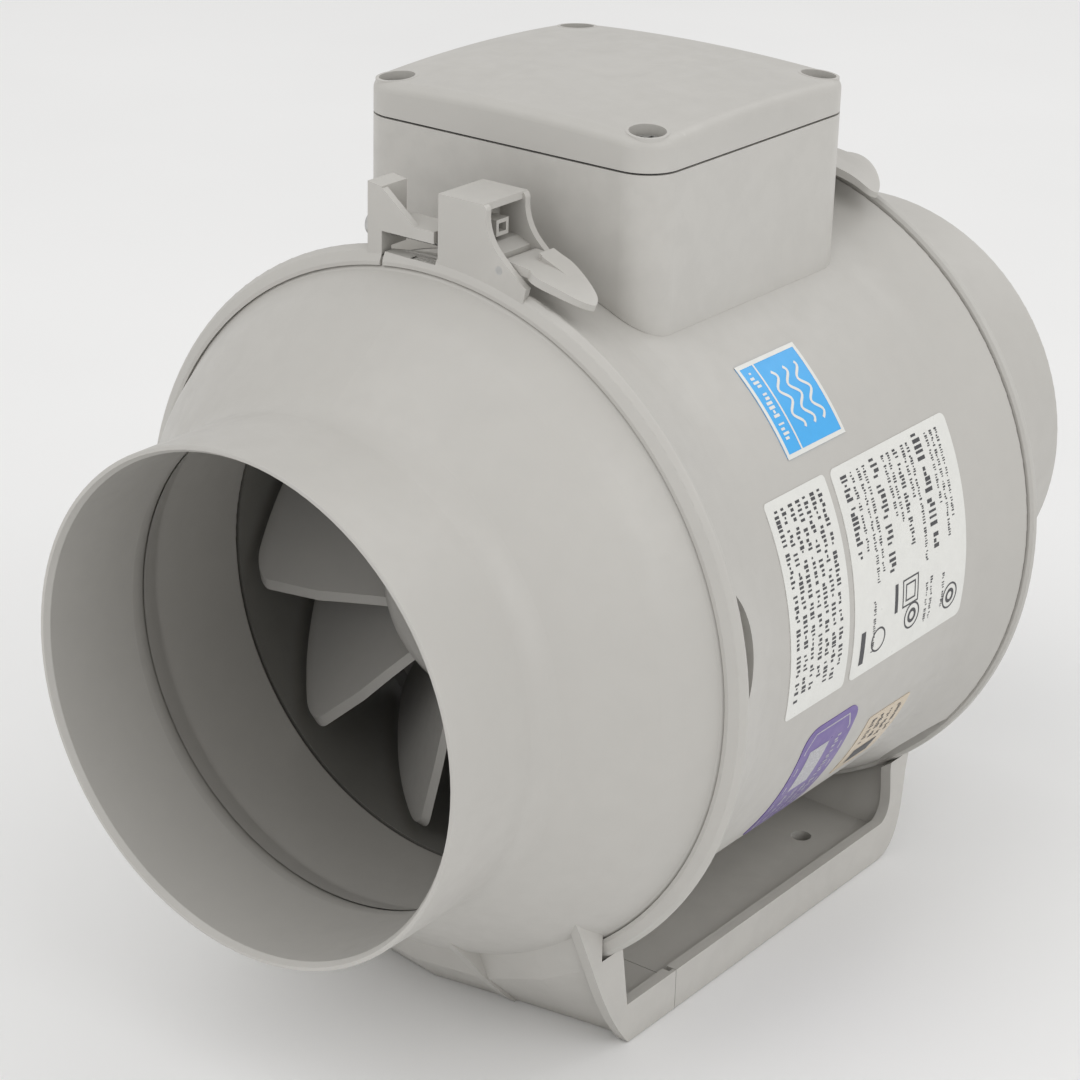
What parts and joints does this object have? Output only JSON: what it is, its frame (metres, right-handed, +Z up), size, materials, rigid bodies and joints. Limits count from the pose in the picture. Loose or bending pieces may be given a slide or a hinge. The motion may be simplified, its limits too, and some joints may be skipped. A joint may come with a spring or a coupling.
{
  "type": "inline duct fan",
  "caption": "Inline duct fan: mixed-flow impeller and motor in a round casing with conical end housings, clamp rings, a top junction box and a flat mounting foot.",
  "frame": {"origin": "middle of the underside of the foot, below the middle of the fan", "axes": "+Y along the air flow from inlet to outlet, +Z up through the junction box, +X towards the side that carries the stickers"},
  "size_m": [0.1814, 0.266, 0.2218],
  "materials": {
    "housing_plastic": "fine moulded satin",
    "impeller_plastic": "moulded satin",
    "duct_plastic": "moulded satin, darker",
    "screw_steel": "zinc plated",
    "bearing_steel": "ground and polished",
    "motor_aluminium": "die cast",
    "core_steel": "stacked laminations",
    "winding_copper": "enamelled copper wire",
    "seal_rubber": "moulded rubber",
    "lead_sheath": "flexible sheath",
    "capacitor_case": "smooth case",
    "clip_steel": "spring strip",
    "terminal_plastic": "moulded",
    "terminal_brass": "plated",
    "gland_plastic": "moulded nylon",
    "blue_print": "printed film",
    "white_print": "printed film",
    "purple_print": "printed film",
    "tan_print": "printed film"
  },
  "bodies": {
    "fan_body": {"inlet_housing": "housing_plastic", "inlet_nozzle": "housing_plastic", "outlet_housing": "housing_plastic", "fan_casing": "housing_plastic", "junction_box": "housing_plastic", "inlet_clamp_ring": "housing_plastic", "outlet_clamp_ring": "housing_plastic", "impeller_shroud": "duct_plastic", "guide_vanes": "duct_plastic", "motor_hub": "duct_plastic", "tail_cone": "duct_plastic", "inlet_clamp_screw": "screw_steel", "outlet_clamp_screw": "screw_steel", "inlet_clamp_nut": "screw_steel", "outlet_clamp_nut": "screw_steel", "inlet_lever_pin": "screw_steel", "outlet_lever_pin": "screw_steel", "motor_bolts": "screw_steel", "front_bearing": "bearing_steel", "rear_bearing": "bearing_steel", "motor_front_shield": "motor_aluminium", "motor_rear_shield": "motor_aluminium", "stator_core": "core_steel", "stator_windings": "winding_copper", "inlet_seal": "seal_rubber", "outlet_seal": "seal_rubber", "lid_gasket": "seal_rubber", "lead_grommet": "seal_rubber", "motor_lead": "lead_sheath", "capacitor_leads": "lead_sheath", "capacitor": "capacitor_case", "capacitor_clip": "clip_steel", "terminal_block": "terminal_plastic", "terminal_screws": "terminal_brass", "gland_body": "gland_plastic", "gland_cap": "gland_plastic", "gland_locknut": "gland_plastic", "square_sticker": "blue_print", "front_rating_sticker": "white_print", "rear_rating_sticker": "white_print", "purple_sticker": "purple_print", "tan_sticker": "tan_print"},
    "spinning_set": {"impeller": "impeller_plastic", "impeller_nut": "screw_steel", "rotor": "core_steel", "shaft": "bearing_steel"},
    "lid": {"box_lid": "housing_plastic", "lid_screws": "screw_steel"},
    "inlet_lever": {"inlet_lever": "housing_plastic"},
    "outlet_lever": {"outlet_lever": "housing_plastic"}
  },
  "joints": [
    {"name": "impeller_spin", "type": "hinge", "parent": "fan_body", "child": "spinning_set", "pos_m": [0, 0, 0.1], "axis": [0, 1, 0], "continuous": true},
    {"name": "inlet_latch", "type": "hinge", "parent": "fan_body", "child": "inlet_lever", "pos_m": [0.0204, -0.0602, 0.191], "axis": [0, -1, 0], "range_deg": [0, 70]},
    {"name": "outlet_latch", "type": "hinge", "parent": "fan_body", "child": "outlet_lever", "pos_m": [0.0204, 0.0602, 0.191], "axis": [0, -1, 0], "range_deg": [0, 70]},
    {"name": "lid_lift", "type": "slide", "parent": "fan_body", "child": "lid", "axis": [0, 0, 1], "range_m": [0, 0.05]}
  ]
}
